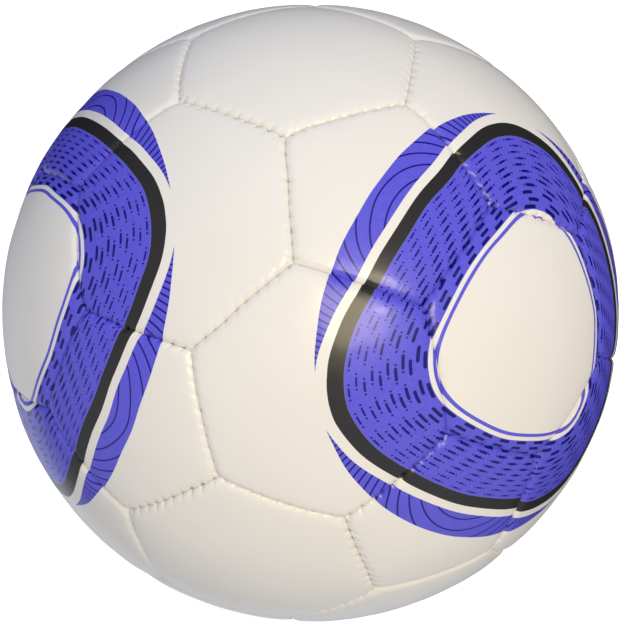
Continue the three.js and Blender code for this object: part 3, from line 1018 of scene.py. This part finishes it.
def patch_profile():
    inner = PATCH_OUTER - PATCH_THICKNESS
    start, end = (math.asin(reach / PATCH_OUTER) for reach in (HOLE_RADIUS, PATCH_REACH))
    under, over = arc(inner, start, end, PATCH_STEPS), arc(PATCH_OUTER, end, start, PATCH_STEPS)
    return rounded([*under, *over], THIN_EDGE)


# ---- Floor, light and camera ----


def place_floor():
    material, _, shader = new_material("pale_floor")
    shader.inputs["Base Color"].default_value = (FLOOR_GREY, FLOOR_GREY, FLOOR_GREY, 1)
    shader.inputs["Roughness"].default_value = 1.0
    shader.inputs["Specular IOR Level"].default_value = 0.0
    shader.inputs["Emission Color"].default_value = (1, 1, 1, 1)
    shader.inputs["Emission Strength"].default_value = FLOOR_GLOW
    bpy.ops.mesh.primitive_plane_add(size=FLOOR_SIZE, location=(0, 0, CAD_BOX[0].z))
    floor = bpy.context.object
    floor.name = "floor"
    floor.data.materials.append(material)
    floor.visible_diffuse = False
    floor.visible_glossy = False
    floor.visible_shadow = False


def light_all_round(scene):
    """A pale sky and ground. What the ball's gloss reflects is darker, apart from a reflector."""
    scene.world = bpy.data.worlds.new("studio")
    scene.world.use_nodes = True
    tree = scene.world.node_tree
    background = tree.nodes["Background"]
    toward = tree.nodes.new("ShaderNodeSeparateXYZ")
    tree.links.new(tree.nodes.new("ShaderNodeTexCoord").outputs["Generated"], toward.inputs[0])
    east, north, up = (Field(tree, toward.outputs[i]) for i in range(3))
    colour = blend(tree, up.under(0, HORIZON_BLUR), SKY_LIGHT, GROUND_LIGHT)
    tree.links.new(colour, background.inputs["Color"])

    plain = north.over(BACK_EDGE, BACK_BLUR) * BACK_LIGHT + 1
    reflector = (east * REFLECTOR_EAST + up * REFLECTOR_UP).over(REFLECTOR_EDGE, REFLECTOR_BLUR)
    reflector = reflector * north.over(REFLECTOR_BACK_EDGE, REFLECTOR_BLUR)
    gloss = north.under(0.0, GLOSS_BLUR) * GLOSS_LIGHT + reflector
    light_path = tree.nodes.new("ShaderNodeLightPath")
    seen_in_gloss = Field(tree, light_path.outputs["Is Glossy Ray"])
    strength = plain + (gloss - plain) * seen_in_gloss
    tree.links.new(strength.socket, background.inputs["Strength"])


def soft_light(name, place, size, power, colour):
    data = bpy.data.lights.new(name, "AREA")
    data.shape = "DISK"
    data.size = size
    data.energy = power
    data.color = colour
    light = bpy.data.objects.new(name, data)
    light.location = place
    light.rotation_mode = "QUATERNION"
    light.rotation_quaternion = (-Vector(place)).to_track_quat("-Z", "Y")
    bpy.context.scene.collection.objects.link(light)
    return light


def place_camera(scene):
    azimuth, elevation = math.radians(CAMERA_AZIMUTH), math.radians(CAMERA_ELEVATION)
    level = math.cos(elevation)
    back = Vector((math.sin(azimuth) * level, -math.cos(azimuth) * level, math.sin(elevation)))
    roll = Matrix.Rotation(math.radians(CAMERA_ROLL), 3, "Z").to_quaternion()
    data = bpy.data.cameras.new("camera")
    data.lens = CAMERA_LENS
    data.sensor_width = CAMERA_SENSOR
    data.shift_x, data.shift_y = CAMERA_SHIFT
    camera = bpy.data.objects.new("camera", data)
    camera.rotation_mode = "QUATERNION"
    camera.rotation_quaternion = (-back).to_track_quat("-Z", "Y") @ roll
    camera.location = back * CAMERA_DISTANCE
    scene.collection.objects.link(camera)
    scene.camera = camera


# ---- Making it all ----

plain_cover = cover_material("plain_cover", printed=False)
printed_cover = cover_material("printed_cover", printed=True)
lining = lining_material()
thread = thread_material()
bladder_rubber = rubber_material(
    "bladder_rubber", srgb(24, 24, 26), srgb(44, 44, 46), roughness=0.55, gloss=0.4
)
valve_rubber = rubber_material(
    "valve_rubber", srgb(196, 192, 182), srgb(214, 210, 202), roughness=0.5, gloss=0.4
)
core_rubber = rubber_material(
    "valve_core_rubber", srgb(30, 30, 32), srgb(50, 50, 54), roughness=0.45, gloss=0.5
)

hexagons, pentagons = lay_out_panels()
seams = lay_out_seams(hexagons + pentagons)
print_panels = [panel_at(hexagons, direction_at(*place)) for place in PRINT_PLACES]
plain_panels = [panel_at(hexagons, -panel.middle) for panel in print_panels]
valve_panel = panel_at(hexagons, VALVE_AXIS)
drift_rng = np.random.default_rng(DRIFT_SEED)


def make_panel(name, panel):
    plain = panel in plain_panels
    skin = panel_skin(panel, has_hole=panel is valve_panel)
    points = np.concatenate(skin.points)
    directions = unit(points)
    materials = [plain_cover if plain else printed_cover, lining]
    piece = mesh_object(name + "_cover", wander(points), skin.faces, materials, skin.finishes)
    set_attribute(piece, "seam_distance", "FLOAT", measure(panel, directions).side)
    if not plain:
        home = panel_at(print_panels, panel.middle)
        neighbour = panel_at([h for h in hexagons if h is not home], home.middle)
        moved = print_move(name, home.middle, drift_rng)
        places = print_places(directions, home.middle, neighbour.middle, moved)
        set_attribute(piece, "print_place", "FLOAT_VECTOR", places)
    stands_for(piece, "ball", name)


for number, panel in enumerate(hexagons, 1):
    make_panel(f"hex_panel_{number:02d}", panel)
for number, panel in enumerate(pentagons, 1):
    make_panel(f"pent_panel_{number:02d}", panel)

stitch_points, stitch_faces = build_stitching(seams)
stitching = mesh_object("stitching", wander(stitch_points), stitch_faces, [thread])
stands_for(stitching, "ball", "stitching_thread")

for piece, body, node, slot in (
    (turned("inner_bladder", bladder_profile(), bladder_rubber, sides=144),
     "ball", "bladder", "bladder_rubber"),
    (turned("valve_moulding", valve_body_profile(), valve_rubber, sides=96),
     "ball", "valve_body", "valve_rubber"),
    (turned("valve_plug", valve_core_profile(), core_rubber, sides=72),
     "core", "valve_core", "valve_core_rubber"),
    (turned("valve_backing", patch_profile(), lining, sides=96),
     "ball", "valve_patch", "lining_cloth"),
):
    piece.data.set_sharp_from_angle(angle=math.radians(SHARP_ANGLE))
    stands_for(piece, body, node)

scene = bpy.context.scene
scene.view_settings.view_transform = "Standard"
place_floor()
light_all_round(scene)
soft_light("key", (0.9, -1.41, 1.09), size=1.0, power=20.5, colour=(1.0, 0.84, 0.53))
soft_light("glint", (1.2, -1.12, 1.12), size=0.18, power=1.8, colour=(1.0, 0.88, 0.66))
top_light = soft_light("top", (0, -0.5, 2.0), size=1.6, power=13, colour=(0.36, 0.63, 1.0))
top_light.visible_glossy = False
place_camera(scene)
